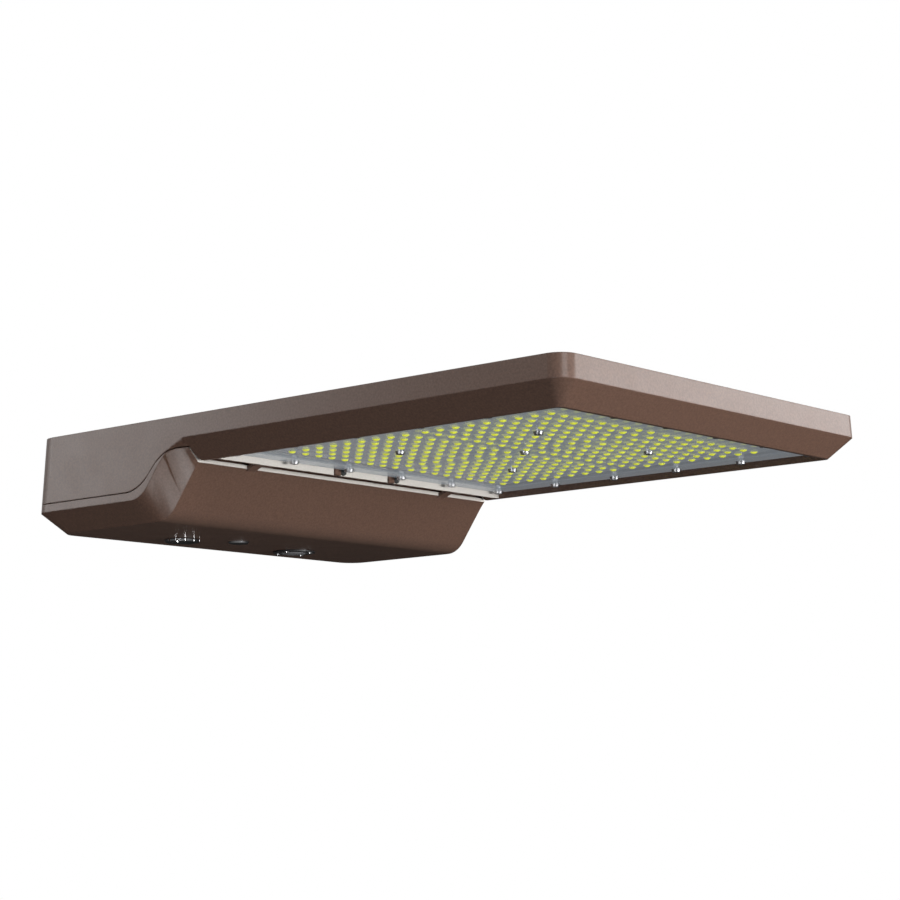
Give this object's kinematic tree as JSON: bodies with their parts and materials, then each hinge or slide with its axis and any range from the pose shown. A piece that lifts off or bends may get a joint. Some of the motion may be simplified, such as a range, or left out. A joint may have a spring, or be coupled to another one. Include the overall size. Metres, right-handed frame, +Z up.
{
  "type": "shoebox area light",
  "caption": "Shoebox area light with a die-cast head, a hinged driver door with a quarter-turn latch, and a square LED array under a clear lens.",
  "frame": {"origin": "centre of the mounting bolt pattern, on the rear mounting face", "axes": "+X from the mounting face to the front end, +Y to the far side (seen from the latch side), +Z up; the lens faces -Z"},
  "size_m": [0.5162, 0.3546, 0.0756],
  "materials": {
    "bronze_paint": "fine-textured semi-gloss powder coat",
    "silicone": "matte",
    "clear_lens": "clear moulded plastic",
    "screw_steel": "stainless",
    "chrome": "polished",
    "board": "grey solder mask",
    "led": "yellow phosphor",
    "connector": "moulded",
    "lead_red": "lead sleeve",
    "lead_black": "lead sleeve",
    "driver_case": "brushed",
    "black_plastic": "moulded",
    "grey_plastic": "moulded",
    "white_plastic": "moulded",
    "zinc": "zinc plated",
    "ground_green": "plated"
  },
  "bodies": {
    "head": {"housing": "bronze_paint", "door_gasket": "silicone", "optic_gasket": "silicone", "rail_plugs": "silicone", "optic_lens": "clear_lens", "lens_screws": "screw_steel", "module_screws": "screw_steel", "driver_screws": "screw_steel", "block_screws": "screw_steel", "keeper_screws": "screw_steel", "board_connectors": "connector", "board_leads": "lead_red", "supply_leads": "lead_black", "driver_1": "driver_case", "driver_2": "driver_case", "surge_protector": "black_plastic", "terminal_block": "white_plastic", "ground_screw": "ground_green", "latch_keeper": "zinc", "led_board_1": "board", "led_chips_1": "led", "led_board_2": "board", "led_chips_2": "led", "led_board_3": "board", "led_chips_3": "led", "led_board_4": "board", "led_chips_4": "led"},
    "door": {"driver_door": "bronze_paint", "hinge_pins": "screw_steel", "hinge_clips": "zinc", "latch_bushing": "black_plastic", "vent_plug": "chrome", "vent_nut": "black_plastic", "sensor_socket": "black_plastic", "socket_cap": "grey_plastic", "socket_screws": "screw_steel", "socket_nut": "black_plastic"},
    "latch": {"latch_knob": "chrome", "latch_cam": "zinc", "latch_nut": "screw_steel"}
  },
  "joints": [
    {"name": "door_hinge", "type": "hinge", "parent": "head", "child": "door", "pos_m": [0.176, 0, -0.0005], "axis": [0, -1, 0], "range_deg": [0, 90]},
    {"name": "latch_turn", "type": "hinge", "parent": "door", "child": "latch", "pos_m": [0.0545, -0.071, 0], "axis": [0, 0, 1], "range_deg": [0, 90]}
  ]
}
